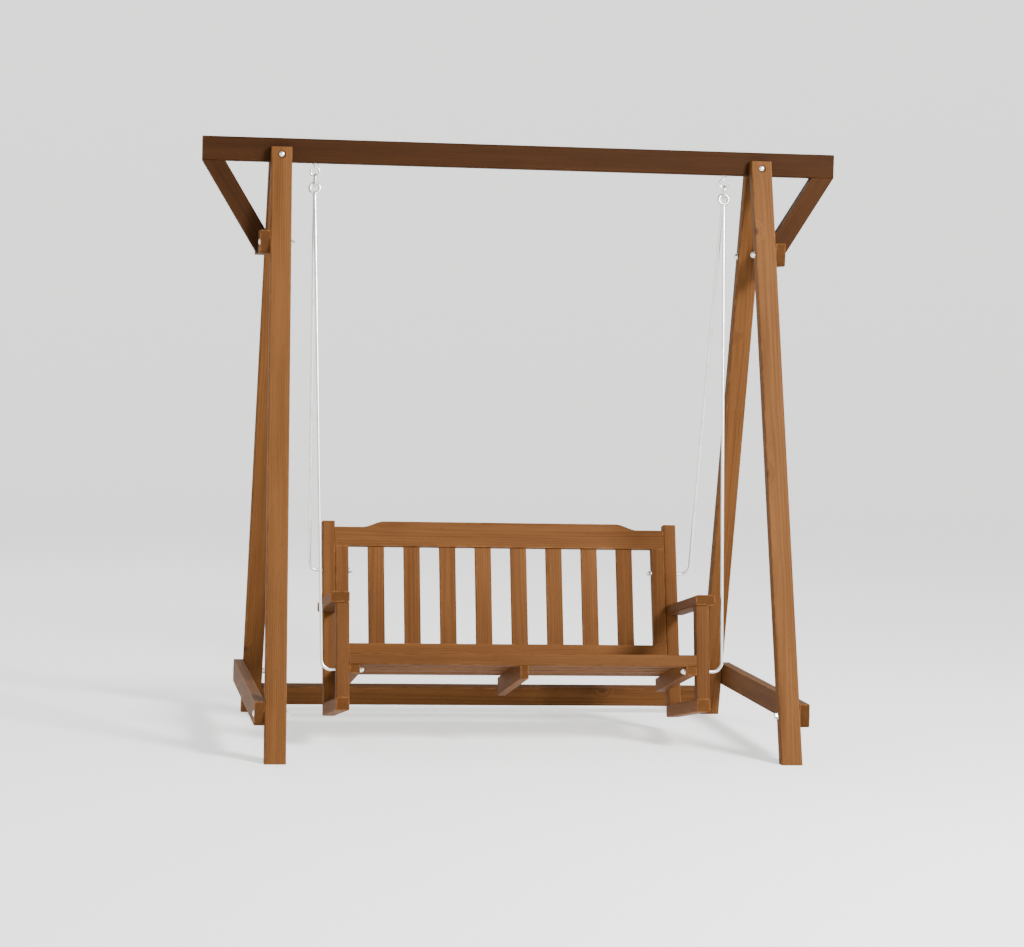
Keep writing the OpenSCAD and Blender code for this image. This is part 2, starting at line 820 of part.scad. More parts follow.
top_beam();
leg(LEFT, FRONT);  // front_leg_left
leg(RIGHT, FRONT);  // front_leg_right
leg(LEFT, REAR);  // rear_leg_left
leg(RIGHT, REAR);  // rear_leg_right
rear_rail();
cross_board(LEFT);  // cross_board_left
cross_board(RIGHT);  // cross_board_right
cleat(LEFT);  // cleat_left
cleat(RIGHT);  // cleat_right
brace(LEFT);  // brace_left
brace(RIGHT);  // brace_right
beam_bolts();
cleat_bolts();
board_bolts();
frame_nuts();
brace_screws();
rail_screws();
hook(LEFT);  // hook_left
hook(RIGHT);  // hook_right
link(LEFT);  // link_left
link(RIGHT);  // link_right
front_rod(LEFT);  // front_rod_left
front_rod(RIGHT);  // front_rod_right
rear_rod(LEFT);  // rear_rod_left
rear_rod(RIGHT);  // rear_rod_right
rod_nuts();
front_post(LEFT);  // front_post_left
front_post(RIGHT);  // front_post_right
back_post(LEFT);  // back_post_left
back_post(RIGHT);  // back_post_right
armrest(LEFT);  // armrest_left
armrest(RIGHT);  // armrest_right
runner(LEFT);  // runner_left
runner(RIGHT);  // runner_right
bearer(LEFT);  // bearer_left
bearer(RIGHT);  // bearer_right
bearer_middle();
seat_slat_front();
for (i = [1:seat_slats])
    seat_slat(i);
back_top_rail();
back_bottom_rail();
back_stile(LEFT);  // back_stile_left
back_stile(RIGHT);  // back_stile_right
for (i = [1:back_slats])
    back_slat(i);
slat_screws();
seat_frame_screws();
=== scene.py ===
"""Finishes, small hardware, studio and camera for a free-standing timber garden swing seat."""

import json
import logging
import math
import random
from dataclasses import dataclass, field, replace
from enum import Enum

import bmesh
import bpy
import numpy as np
from mathutils import Matrix, Vector

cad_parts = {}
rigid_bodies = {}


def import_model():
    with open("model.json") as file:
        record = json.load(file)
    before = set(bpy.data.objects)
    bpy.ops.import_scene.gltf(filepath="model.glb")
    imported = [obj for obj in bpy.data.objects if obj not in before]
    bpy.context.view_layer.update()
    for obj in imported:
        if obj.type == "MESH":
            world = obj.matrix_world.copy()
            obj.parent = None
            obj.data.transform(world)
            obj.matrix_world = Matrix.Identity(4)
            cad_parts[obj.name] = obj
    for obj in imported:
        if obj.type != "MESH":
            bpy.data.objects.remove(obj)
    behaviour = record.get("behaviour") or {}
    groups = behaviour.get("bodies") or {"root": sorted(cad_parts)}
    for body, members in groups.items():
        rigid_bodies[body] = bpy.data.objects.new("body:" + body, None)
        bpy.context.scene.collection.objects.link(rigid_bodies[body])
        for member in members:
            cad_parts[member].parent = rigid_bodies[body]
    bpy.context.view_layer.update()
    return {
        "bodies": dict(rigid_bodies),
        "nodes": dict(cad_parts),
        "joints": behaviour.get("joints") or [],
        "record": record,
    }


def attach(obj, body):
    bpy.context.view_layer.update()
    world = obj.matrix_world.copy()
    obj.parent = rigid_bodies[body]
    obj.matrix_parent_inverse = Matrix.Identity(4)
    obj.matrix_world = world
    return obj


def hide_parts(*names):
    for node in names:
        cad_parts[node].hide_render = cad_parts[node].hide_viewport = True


LOG = logging.getLogger("swing_seat")
MM = 0.001
Colour = tuple[float, float, float]


class Timber(Enum):
    """The three stocks of timber that the swing seat is built from."""

    BEAM = "beam_timber"
    FRAME = "frame_timber"
    BENCH = "bench_timber"


class Metal(Enum):
    """The metal stock of rods, hooks and fasteners."""

    ZINC = "zinc_steel"


# ---- Node graphs ----


def add_node(tree: bpy.types.NodeTree, kind: str, inputs: dict | None, settings: dict) -> bpy.types.Node:
    """Add a node to a tree.

    Args:
        tree: The tree.
        kind: The node type's name.
        inputs: Values or sockets for its inputs, by name or index.
        settings: Attributes of the node, by name.

    Returns:
        The new node.
    """
    node = tree.nodes.new(kind)
    for key, value in settings.items():
        setattr(node, key, value)
    for key, value in (inputs or {}).items():
        if isinstance(value, bpy.types.NodeSocket):
            tree.links.new(value, node.inputs[key])
        else:
            node.inputs[key].default_value = value
    return node


class Graph:
    """A material's node tree with short calls for adding and joining nodes."""

    def __init__(self, name: str) -> None:
        """Start an empty node material.

        Args:
            name: The material's name.
        """
        self.material = bpy.data.materials.new(name)
        self.material.use_nodes = True
        self.tree = self.material.node_tree
        self.tree.nodes.clear()

    def add(self, kind: str, inputs: dict | None = None, **settings: object) -> bpy.types.Node:
        """Add a node.

        Args:
            kind: The node type's name.
            inputs: Values or sockets for its inputs, by name or index.
            **settings: Attributes of the node.

        Returns:
            The new node.
        """
        return add_node(self.tree, kind, inputs, settings)

    def math(self, operation: str, *values: object, clamp: bool = False) -> bpy.types.NodeSocket:
        """Add a Math node.

        Args:
            operation: The operation's name.
            *values: Numbers or sockets, in order.
            clamp: Whether the result is held between 0 and 1.

        Returns:
            The result socket.
        """
        node = self.add("ShaderNodeMath", dict(enumerate(values)), operation=operation)
        node.use_clamp = clamp
        return node.outputs[0]

    def ramp(self, value: bpy.types.NodeSocket, low: float, high: float,
             start: float = 0.0, end: float = 1.0) -> bpy.types.NodeSocket:
        """Map a value smoothly from one range to another.

        Args:
            value: The socket to map.
            low: The value that gives start.
            high: The value that gives end.
            start: The result at and below low.
            end: The result at and above high.

        Returns:
            The result socket.
        """
        node = self.add("ShaderNodeMapRange", {0: value, 1: low, 2: high, 3: start, 4: end},
                        interpolation_type="SMOOTHSTEP")
        return node.outputs[0]

    def mix(self, share: object, first: object, second: object, mode: str = "MIX") -> bpy.types.NodeSocket:
        """Mix two colours.

        Args:
            share: How much of the second, a number or a socket.
            first: A colour or a socket.
            second: A colour or a socket.
            mode: The blend mode.

        Returns:
            The colour socket.
        """
        node = self.add("ShaderNodeMix", {0: share, 6: first, 7: second}, data_type="RGBA")
        node.blend_type = mode
        return node.outputs[2]

    def noise(self, vector: bpy.types.NodeSocket, scale: float, detail: float = 3.0,
              roughness: float = 0.5) -> bpy.types.NodeSocket:
        """Add a noise texture.

        Args:
            vector: The coordinates.
            scale: The texture's scale.
            detail: The number of octaves.
            roughness: The strength of the finer octaves.

        Returns:
            The noise value, from 0 to 1.
        """
        inputs = {"Vector": vector, "Scale": scale, "Detail": detail, "Roughness": roughness}
        return self.add("ShaderNodeTexNoise", inputs).outputs[0]

    def stretch(self, vector: bpy.types.NodeSocket, factors: Colour) -> bpy.types.NodeSocket:
        """Scale coordinates by a factor along each axis.

        Args:
            vector: The coordinates.
            factors: The three factors.

        Returns:
            The scaled coordinates.
        """
        node = self.add("ShaderNodeVectorMath", {0: vector, 1: factors}, operation="MULTIPLY")
        return node.outputs[0]


def colour4(colour: Colour) -> tuple[float, float, float, float]:
    """Give a colour an alpha of one.

    Args:
        colour: The colour.

    Returns:
        The colour and its alpha.
    """
    return (*colour, 1.0)


def scaled(colour: Colour, share: float) -> Colour:
    """Darken or lighten a colour.

    Args:
        colour: The colour.
        share: What each of its parts is multiplied by.

    Returns:
        The new colour, no part of it over one.
    """
    return tuple(min(1.0, c * share) for c in colour)


# ---- Turned shapes ----


def ring_mesh(name: str, rows: list[list[tuple[float, float]]], looped: bool = False,
              closed_end: bool = True) -> bpy.types.Mesh:
    """Join rings of points about the Z axis into a surface.

    Args:
        name: The mesh's name.
        rows: For each ring, the radius and height at each angle.
        looped: Whether the last ring joins the first, instead of the ends being filled.
        closed_end: Whether a face fills the last ring, where they aren't joined.

    Returns:
        The mesh.
    """
    sides = len(rows[0])
    verts = []
    for row in rows:
        for k, (radius, height) in enumerate(row):
            angle = 2 * math.pi * k / sides
            verts.append((radius * math.cos(angle), radius * math.sin(angle), height))
    faces = []
    for i in range(len(rows) if looped else len(rows) - 1):
        j = (i + 1) % len(rows)
        for k in range(sides):
            after = (k + 1) % sides
            faces.append((i * sides + k, i * sides + after, j * sides + after, j * sides + k))
    if not looped:
        faces.append(tuple(reversed(range(sides))))
        if closed_end:
            last = (len(rows) - 1) * sides
            faces.append(tuple(range(last, last + sides)))
    mesh = bpy.data.meshes.new(name)
    mesh.from_pydata(verts, [], faces)
    return mesh


# ---- Where a piece lies ----


@dataclass(frozen=True)
class PieceFrame:
    """The box that a piece of timber fills in its own directions, its grain along the first.

    Attributes:
        centre: The box's middle.
        turn: The rotation from the piece's own directions to the model's.
        half: Half the box's size along grain, width and thickness.
    """

    centre: Vector
    turn: Matrix
    half: Vector

    @classmethod
    def of_mesh(cls, mesh: bpy.types.Mesh) -> "PieceFrame":
        """Find the directions of a piece from its largest flat faces.

        Args:
            mesh: The piece's mesh.

        Returns:
            The piece's frame.
        """
        areas: dict[tuple[float, float, float], list] = {}
        for face in mesh.polygons:
            normal = face.normal if face.normal @ Vector((1.0, 0.93, 0.87)) > 0 else -face.normal
            key = tuple(round(c, 2) for c in normal)
            entry = areas.setdefault(key, [0.0, Vector()])
            entry[0] += face.area
            entry[1] += normal * face.area
        ranked = sorted(areas.values(), key=lambda e: -e[0])
        first = ranked[0][1].normalized()
        second = next((e[1].normalized() for e in ranked if abs(e[1].normalized() @ first) < 0.05),
                      first.orthogonal().normalized())
        second = (second - first * (second @ first)).normalized()
        axes = [first, second, first.cross(second).normalized()]
        spans = []
        for axis in axes:
            along = [axis @ v.co for v in mesh.vertices]
            spans.append((max(along) - min(along), (max(along) + min(along)) / 2, axis))
        spans.sort(key=lambda s: -s[0])
        grain, width = spans[0][2], spans[1][2]
        thick = grain.cross(width)
        middle = sum((s[1] * s[2] for s in spans), Vector())
        turn = Matrix((grain, width, thick)).transposed()
        return cls(middle, turn, Vector([s[0] / 2 for s in spans]))


# ---- Finishes ----


@dataclass(frozen=True)
class WoodFinish:
    """Oiled hardwood with straight grain, growth rings, pores, a few knots and worn edges.

    Attributes:
        pale: Colour of the early wood.
        deep: Colour of the late wood.
        knot: Colour of a knot's heart.
        ring: Spacing of the growth rings.
        knot_share: Share of the cells of the knot pattern that hold a knot.
        gloss: Roughness of the oiled surface.
        sheen: Strength of its reflection.
        spread: How far one board's tone may lie from the next one's.
        grain_shares: How much the rings, fibres, streaks and blotches darken the wood.
        blotch_base: What is taken off the blotches, so that they also lighten it.
        pore_share: How strongly the pores show.
        end_share: How strongly the sawn ends darken.
        wear_share: How strongly the rubbed edges lighten.
        relief: Strength and depth of the grain's relief.
    """

    pale: Colour
    deep: Colour
    knot: Colour = (0.035, 0.016, 0.008)
    ring: float = 7 * MM
    knot_share: float = 0.05
    gloss: float = 0.58
    sheen: float = 0.05
    spread: float = 0.10
    grain_shares: tuple[float, float, float, float] = (0.20, 0.40, 0.66, 0.75)
    blotch_base: float = 0.62
    pore_share: float = 0.38
    end_share: float = 0.5
    wear_share: float = 0.42
    relief: tuple[float, float] = (0.35, 0.4 * MM)

    def toned(self, share: float) -> "WoodFinish":
        """Give the same wood in a darker or paler tone.

        Args:
            share: What its colours are multiplied by.

        Returns:
            The toned finish.
        """
        return replace(self, pale=scaled(self.pale, share), deep=scaled(self.deep, share))

    def material(self, name: str, piece: PieceFrame, rng: random.Random) -> bpy.types.Material:
        """Make the wood of one piece, its grain along the piece.

        Args:
            name: The material's name.
            piece: Where the piece lies.
            rng: The source of the piece's own pattern.

        Returns:
            The node material.
        """
        g = Graph(name)
        coords = g.add("ShaderNodeTexCoord")
        local = g.add("ShaderNodeMapping", {0: coords.outputs["Object"], 1: piece.centre,
                                            2: piece.turn.to_euler()}, vector_type="TEXTURE").outputs[0]
        offset = tuple(rng.uniform(3, 40) for _ in range(3))
        own = g.add("ShaderNodeVectorMath", {0: local, 1: offset}, operation="ADD").outputs[0]
        knots, swirl = self._knots(g, own)
        rings = self._rings(g, local, own, swirl, rng)
        fibre = g.noise(g.stretch(own, (6.0, 260.0, 260.0)), 1.0, 4.0, 0.62)
        streak = g.noise(g.stretch(own, (1.6, 46.0, 46.0)), 1.0, 3.0, 0.55)
        pore = g.ramp(g.noise(g.stretch(own, (34.0, 900.0, 900.0)), 1.0, 2.0), 0.60, 0.74)
        blotch = g.noise(g.stretch(own, (2.2, 9.0, 9.0)), 1.0, 2.0)
        by_ring, by_fibre, by_streak, by_blotch = self.grain_shares
        tone = g.math("ADD", g.math("MULTIPLY", rings, by_ring), g.math("MULTIPLY", fibre, by_fibre))
        tone = g.math("ADD", tone, g.math("MULTIPLY", streak, by_streak))
        tone = g.math("ADD", tone, g.math("MULTIPLY_ADD", blotch, by_blotch, -self.blotch_base), clamp=True)
        shade = rng.uniform(1 - self.spread, 1 + self.spread)
        colour = g.mix(tone, colour4(scaled(self.pale, shade)), colour4(scaled(self.deep, shade)))
        colour = g.mix(g.math("MULTIPLY", pore, self.pore_share), colour, colour4(scaled(self.deep, 0.35)))
        colour = g.mix(g.math("MULTIPLY", knots, 0.85), colour, colour4(self.knot))
        ends = self._end_grain(g, coords.outputs["Normal"], piece)
        colour = g.mix(g.math("MULTIPLY", ends, self.end_share), colour, colour4(scaled(self.deep, 0.42)))
        wear = self._wear(g, local, own, piece)
        colour = g.mix(g.math("MULTIPLY", wear, self.wear_share), colour, colour4(scaled(self.pale, 1.75)))
        rough = g.math("MULTIPLY_ADD", fibre, 0.22, self.gloss - 0.08)
        rough = g.math("ADD", rough, g.math("MULTIPLY", ends, 0.2))
        height = g.math("ADD", g.math("MULTIPLY", fibre, 0.6), g.math("MULTIPLY", rings, 0.25))
        height = g.math("SUBTRACT", height, g.math("MULTIPLY", pore, 0.6))
        strength, depth = self.relief
        bump = g.add("ShaderNodeBump", {"Height": height, "Strength": strength, "Distance": depth})
        shader = g.add("ShaderNodeBsdfPrincipled", {"Base Color": colour, "Roughness": rough,
                                                    "Specular IOR Level": self.sheen,
                                                    "Normal": bump.outputs[0]})
        g.add("ShaderNodeOutputMaterial", {0: shader.outputs[0]})
        g.material.diffuse_color = colour4(self.pale)
        return g.material

    def _knots(self, g: Graph, own: bpy.types.NodeSocket) -> tuple:
        """Make a few knots and the pull that they have on the grain.

        Args:
            g: The material's graph.
            own: The piece's own pattern coordinates.

        Returns:
            The knots' mask and the pull, as sockets.
        """
        cells = g.add("ShaderNodeTexVoronoi", {"Vector": g.stretch(own, (11.0, 19.0, 19.0)), "Scale": 1.0})
        pick = g.add("ShaderNodeSeparateColor", {0: cells.outputs["Color"]})
        chosen = g.math("GREATER_THAN", pick.outputs[0], 1.0 - self.knot_share)
        near = g.ramp(cells.outputs["Distance"], 0.05, 0.24, 1.0, 0.0)
        pull = g.ramp(cells.outputs["Distance"], 0.0, 0.62, 1.0, 0.0)
        return g.math("MULTIPLY", near, chosen), g.math("MULTIPLY", pull, chosen)

    def _rings(self, g: Graph, local: bpy.types.NodeSocket, own: bpy.types.NodeSocket,
               swirl: bpy.types.NodeSocket, rng: random.Random) -> bpy.types.NodeSocket:
        """Make growth rings about a heart line outside the piece.

        Args:
            g: The material's graph.
            local: The piece's coordinates.
            own: The piece's own pattern coordinates.
            swirl: The pull of the knots.
            rng: The source of the heart's place.

        Returns:
            The ring pattern, from 0 to 1.
        """
        angle = rng.uniform(0.2, 2.9)
        far = rng.uniform(45, 90) * MM
        heart = (0.0, far * math.cos(angle), far * math.sin(angle))
        flat = g.stretch(local, (0.02, 1.0, 1.0))
        away = g.add("ShaderNodeVectorMath", {0: flat, 1: heart}, operation="SUBTRACT")
        radius = g.add("ShaderNodeVectorMath", {0: away.outputs[0]}, operation="LENGTH").outputs["Value"]
        drift = g.noise(g.stretch(own, (1.1, 7.0, 7.0)), 1.0, 3.0, 0.45)
        radius = g.math("ADD", radius, g.math("MULTIPLY", drift, 3.4 * self.ring))
        radius = g.math("ADD", radius, g.math("MULTIPLY", swirl, 2.2 * self.ring))
        wave = g.math("SINE", g.math("MULTIPLY", radius, 2 * math.pi / self.ring))
        return g.ramp(wave, -0.5, 1.0)

    def _end_grain(self, g: Graph, normal: bpy.types.NodeSocket, piece: PieceFrame) -> bpy.types.NodeSocket:
        """Mask the sawn ends, which face along the grain.

        Args:
            g: The material's graph.
            normal: The surface's direction.
            piece: Where the piece lies.

        Returns:
            The mask, 1 on a sawn end.
        """
        grain = tuple(piece.turn.col[0])
        facing = g.add("ShaderNodeVectorMath", {0: normal, 1: grain}, operation="DOT_PRODUCT")
        return g.ramp(g.math("ABSOLUTE", facing.outputs["Value"]), 0.65, 0.9)

    def _wear(self, g: Graph, local: bpy.types.NodeSocket, own: bpy.types.NodeSocket,
              piece: PieceFrame) -> bpy.types.NodeSocket:
        """Mask the rubbed edges of the piece's box, broken up by noise.

        Args:
            g: The material's graph.
            local: The piece's coordinates.
            own: The piece's own pattern coordinates.
            piece: Where the piece lies.

        Returns:
            The mask, 1 where the edge is worn.
        """
        parts = g.add("ShaderNodeSeparateXYZ", {0: local})
        gaps = [g.math("SUBTRACT", piece.half[i], g.math("ABSOLUTE", parts.outputs[i])) for i in range(3)]
        lowest = g.math("MINIMUM", g.math("MINIMUM", gaps[0], gaps[1]), gaps[2])
        highest = g.math("MAXIMUM", g.math("MAXIMUM", gaps[0], gaps[1]), gaps[2])
        total = g.math("ADD", g.math("ADD", gaps[0], gaps[1]), gaps[2])
        middle = g.math("SUBTRACT", g.math("SUBTRACT", total, lowest), highest)
        chips = g.noise(g.stretch(own, (26.0, 90.0, 90.0)), 1.0, 3.0)
        reach = g.math("ADD", middle, g.math("MULTIPLY_ADD", chips, 12 * MM, -6 * MM))
        return g.ramp(reach, 0.2 * MM, 3.4 * MM, 1.0, 0.0)


@dataclass(frozen=True)
class ZincFinish:
    """Bright zinc on steel, with fine spangle, dull patches and light scratches.

    Attributes:
        colour: Colour of the clean zinc.
        dull: Colour of the dulled zinc.
        low: Roughness where the zinc is bright.
        high: Roughness where it is dull.
    """

    colour: Colour = (0.80, 0.81, 0.79)
    dull: Colour = (0.55, 0.56, 0.53)
    low: float = 0.30
    high: float = 0.52

    def material(self, name: str) -> bpy.types.Material:
        """Make the node material.

        Args:
            name: The material's name.

        Returns:
            The node material.
        """
        g = Graph(name)
        place = g.add("ShaderNodeTexCoord").outputs["Object"]
        spangle = g.add("ShaderNodeTexVoronoi", {"Vector": place, "Scale": 240.0})
        grain = g.add("ShaderNodeSeparateColor", {0: spangle.outputs["Color"]}).outputs[0]
        patches = g.ramp(g.noise(place, 22.0, 4.0, 0.6), 0.45, 0.72)
        scratch = g.ramp(g.noise(g.stretch(place, (500.0, 500.0, 30.0)), 1.0, 2.0), 0.58, 0.72)
        share = g.math("ADD", g.math("MULTIPLY", patches, 0.45), g.math("MULTIPLY", grain, 0.16), clamp=True)
        colour = g.mix(share, colour4(self.colour), colour4(self.dull))
        rough = g.ramp(g.math("ADD", share, g.math("MULTIPLY", scratch, 0.25)), 0.0, 1.0, self.low, self.high)
        bump = g.add("ShaderNodeBump", {"Height": g.math("SUBTRACT", grain, scratch), "Strength": 0.04,
                                        "Distance": 0.05 * MM})
        shader = g.add("ShaderNodeBsdfPrincipled", {"Base Color": colour, "Roughness": rough, "Metallic": 1.0,
                                                    "Normal": bump.outputs[0]})
        g.add("ShaderNodeOutputMaterial", {0: shader.outputs[0]})
        g.material.diffuse_color = colour4(self.colour)
        return g.material


# ---- Timber ----


@dataclass
class TimberWork:
    """All the planed timber: the frame, the beam and the bench.

    Attributes:
        finishes: The finish of each stock.
        tones: How much darker some boards are made than the rest of their stock, by the start of their name.
        seed: Seed of the pieces' own grain.
    """

    finishes: dict[Timber, WoodFinish] = field(default_factory=lambda: {
        # The beam's colours hold painted shade: they are made far darker than the frame's to stand for the
        # shade on the beam.
        Timber.BEAM: WoodFinish(pale=(0.038, 0.0140, 0.0036), deep=(0.015, 0.0050, 0.0013), knot_share=0.03),
        Timber.FRAME: WoodFinish(pale=(0.122, 0.050, 0.0150), deep=(0.046, 0.0165, 0.0042), knot_share=0.06),
        Timber.BENCH: WoodFinish(pale=(0.140, 0.056, 0.0165), deep=(0.053, 0.0180, 0.0046), knot_share=0.02),
    })
    tones: dict[str, float] = field(default_factory=lambda: {
        "front_post": 0.66, "seat_slat_front": 0.66, "rear_rail": 0.80, "back_stile": 0.85})
    seed: int = 11

    def dress(self, frame: dict) -> None:
        """Give every timber node a wood of its own, its grain along the piece.

        Args:
            frame: The loaded frame.
        """
        rng = random.Random(self.seed)
        slots = {row["node"]: row["material_slot"] for row in frame["record"]["subparts"]}
        for name in sorted(frame["nodes"]):
            kinds = [t for t in Timber if t.value == slots[name]]
            if not kinds:
                continue
            node = frame["nodes"][name]
            piece = PieceFrame.of_mesh(node.data)
            tone = next((share for start, share in self.tones.items() if name.startswith(start)), 1.0)
            wood = self.finishes[kinds[0]].toned(tone).material(f"wood_{name}", piece, rng)
            put_material(node, wood)
            LOG.info("timber %s: %.0f x %.0f x %.0f mm", name, *(2 * h / MM for h in piece.half))


def put_material(piece: bpy.types.Object, material: bpy.types.Material) -> None:
    """Put one material in all of a piece's slots.

    Args:
        piece: The piece.
        material: The material.
    """
    if not piece.material_slots:
        piece.data.materials.append(material)
    for slot in piece.material_slots:
        slot.material = material


# ---- Steel ----


@dataclass(frozen=True)
class Seat:
    """Where a fastener sits: the outside of its head or washer, its direction and its length.

    Attributes:
        start: The middle of the outer end.
        axis: The direction from there into the work.
        length: The length along that direction.
    """

    start: Vector
    axis: Vector
    length: float


def shells(mesh: bpy.types.Mesh) -> list[list[Vector]]:
    """Split a mesh of loose triangles into its separate closed shells.

    Args:
        mesh: The mesh to read.

    Returns:
        The points of each shell, ordered by the shells' places.
    """
    work = bmesh.new()
    work.from_mesh(mesh)
    bmesh.ops.remove_doubles(work, verts=work.verts, dist=0.001 * MM)
    unseen = set(work.verts)
    groups = []
    for first in list(work.verts):
        if first not in unseen:
            continue
        unseen.discard(first)
        queue, group = [first], []
        while queue:
            vert = queue.pop()
            group.append(vert.co.copy())
            for edge in vert.link_edges:
                other = edge.other_vert(vert)
                if other in unseen:
                    unseen.discard(other)
                    queue.append(other)
        groups.append(group)
    work.free()
    return sorted(groups, key=lambda pts: tuple(round(c, 4) for c in sum(pts, Vector()) / len(pts)))


def seat_of(points: list[Vector]) -> Seat:
    """Find a turned fastener's axis, its widest end and its length.

    Args:
        points: The points of its shell.

    Returns:
        The fastener's seat.
    """
    cloud = np.array(points, dtype=float)
    middle = cloud.mean(axis=0)
    spread, directions = np.linalg.eigh(np.cov((cloud - middle).T))
    odd = int(np.argmax(np.abs(spread - np.median(spread))))
    axis = directions[:, odd]
    along = (cloud - middle) @ axis
    out = np.linalg.norm(cloud - middle - np.outer(along, axis), axis=1)
    widest = along[out > out.max() - 0.05 * MM].mean()
    if abs(widest - along.min()) > abs(widest - along.max()):
        axis, along = -axis, -along
    return Seat(Vector(middle + axis * along.min()), Vector(axis), float(np.ptp(along)))


def seats_in(frame: dict, node: str) -> list[Seat]:
    """Find the seat of each fastener in a node.

    Args:
        frame: The loaded frame.
        node: The node that holds the fasteners.

    Returns:
        One seat for each fastener.
    """
    return [seat_of(points) for points in shells(frame["nodes"][node].data)]


def ring_surface(name: str, rows: list[list[tuple[float, float]]], looped: bool) -> bpy.types.Mesh:
    """Join rings of points into a closed surface whose faces point out.

    Args:
        name: The mesh's name.
        rows: For each ring, the radius and height at each angle.
        looped: Whether the last ring joins the first, instead of both being filled.

    Returns:
        The mesh.
    """
    mesh = ring_mesh(name, rows, looped)
    face_out(mesh)
    return mesh


def face_out(mesh: bpy.types.Mesh) -> None:
    """Turn a closed mesh's faces outwards.

    Args:
        mesh: The mesh.
    """
    work = bmesh.new()
    work.from_mesh(mesh)
    bmesh.ops.recalc_face_normals(work, faces=work.faces)
    work.to_mesh(mesh)
    work.free()


def turned(name: str, profile: list[tuple[float, float]], sides: int = 32,
           looped: bool = False) -> bpy.types.Mesh:
    """Turn a profile of radius and height into a closed mesh.

    Args:
        name: The mesh's name.
        profile: The profile's points.
        sides: Number of steps round the axis.
        looped: Whether the profile closes on itself, as a washer's does.

    Returns:
        The mesh.
    """
    return ring_surface(name, [[point] * sides for point in profile], looped)


@dataclass(frozen=True)
class Thread:
    """A rolled thread.

    Attributes:
        crest: Radius of its crests.
        depth: Depth of its grooves.
        pitch: Distance from one crest to the next.
        sides: Number of steps round the axis.
        per_turn: Number of rows for each turn.
    """

    crest: float = 5.0 * MM
    depth: float = 0.55 * MM
    pitch: float = 1.5 * MM
    sides: int = 24
    per_turn: int = 6

    def mesh(self, name: str, length: float) -> bpy.types.Mesh:
        """Make the thread from z = 0 to its chamfered end.

        Args:
            name: The mesh's name.
            length: The thread's length.

        Returns:
            The mesh.
        """
        count = max(4, round(length / self.pitch * self.per_turn))
        root = self.crest - self.depth
        rows = []
        for i in range(count + 1):
            height = length * i / count
            point = min(1.0, (length - height) / self.pitch + 0.45)
            row = []
            for k in range(self.sides):
                phase = 2 * math.pi * (height / self.pitch - k / self.sides)
                radius = self.crest - self.depth * (0.5 - 0.5 * math.cos(phase))
                row.append((min(radius, root * point + self.depth * (point >= 1.0)), height))
            rows.append(row)
        return ring_surface(name, rows, looped=False)


@dataclass(frozen=True)
class HexNut:
    """A chamfered hexagon nut on a round washer.

    Attributes:
        shaft: Radius of the shaft.
        corner: Radius over the nut's corners.
        height: Height of the nut.
        washer: Radius of the washer.
        washer_height: Thickness of the washer.
        per_flat: Number of steps along each flat.
    """

    shaft: float = 5.0 * MM
    corner: float = 9.5 * MM
    height: float = 8.0 * MM
    washer: float = 11.0 * MM
    washer_height: float = 2.0 * MM
    per_flat: int = 8

    def mesh(self, name: str) -> bpy.types.Mesh:
        """Make the washer from z = 0 and the nut on it.

        Args:
            name: The mesh's name.

        Returns:
            The mesh of both, as two closed shells.
        """
        ease = 0.3 * MM
        hole = self.shaft + 0.4 * MM
        washer = [(hole, 0.0), (self.washer - ease, 0.0), (self.washer, ease),
                  (self.washer, self.washer_height - ease), (self.washer - ease, self.washer_height),
                  (hole, self.washer_height)]
        flat = self.corner * math.cos(math.radians(30))
        sides = 6 * self.per_flat
        rim = []
        for k in range(sides):
            off = math.radians((k * 360 / sides) % 60 - 30)
            rim.append(flat / math.cos(off))
        base, top = self.washer_height, self.washer_height + self.height
        bore = self.shaft + 0.05 * MM
        slope = math.tan(math.radians(30))
        drops = [(r - flat * 0.97) * slope for r in rim]
        rows = [[(bore, base + ease)] * sides, [(bore, top - 2 * ease)] * sides,
                [(bore + 2 * ease, top)] * sides, [(flat * 0.97, top)] * sides,
                [(r, top - d) for r, d in zip(rim, drops)], [(r, base + d) for r, d in zip(rim, drops)],
                [(flat * 0.97, base)] * sides, [(bore + ease, base)] * sides]
        nut = ring_surface(f"{name}_hexagon", rows, looped=True)
        return joined(name, [turned(f"{name}_washer", washer, looped=True), nut])


def joined(name: str, meshes: list[bpy.types.Mesh]) -> bpy.types.Mesh:
    """Put several meshes into one.

    Args:
        name: The new mesh's name.
        meshes: The meshes, which are removed.

    Returns:
        The new mesh.
    """
    work = bmesh.new()
    for mesh in meshes:
        work.from_mesh(mesh)
        bpy.data.meshes.remove(mesh)
    whole = bpy.data.meshes.new(name)
    work.to_mesh(whole)
    work.free()
    return whole


@dataclass(frozen=True)
class DomeHead:
    """A carriage bolt's domed head.

    Attributes:
        radius: The head's radius.
        height: The head's height.
        sweep: How far the dome bends from its top to its rim, in degrees.
        dome_share: The dome's share of the height; the rim takes the rest.
        steps: Number of steps from the dome's top to its rim.
    """

    radius: float = 10.0 * MM
    height: float = 5.0 * MM
    sweep: float = 78
    dome_share: float = 0.86
    steps: int = 8

    def mesh(self, name: str) -> bpy.types.Mesh:
        """Make the head from its top at z = 0 down into the work.

        Args:
            name: The mesh's name.

        Returns:
            The mesh.
        """
        sweep = math.radians(self.sweep)
        profile = []
        for i in range(1, self.steps + 1):
            angle = sweep * i / self.steps
            drop = (1 - math.cos(angle)) / (1 - math.cos(sweep))
            profile.append((self.radius * math.sin(angle) / math.sin(sweep),
                            self.height * self.dome_share * drop))
        profile += [(self.radius, self.height * 0.94), (self.radius * 0.96, self.height),
                    (self.radius * 0.5, self.height)]
        return turned(name, profile)


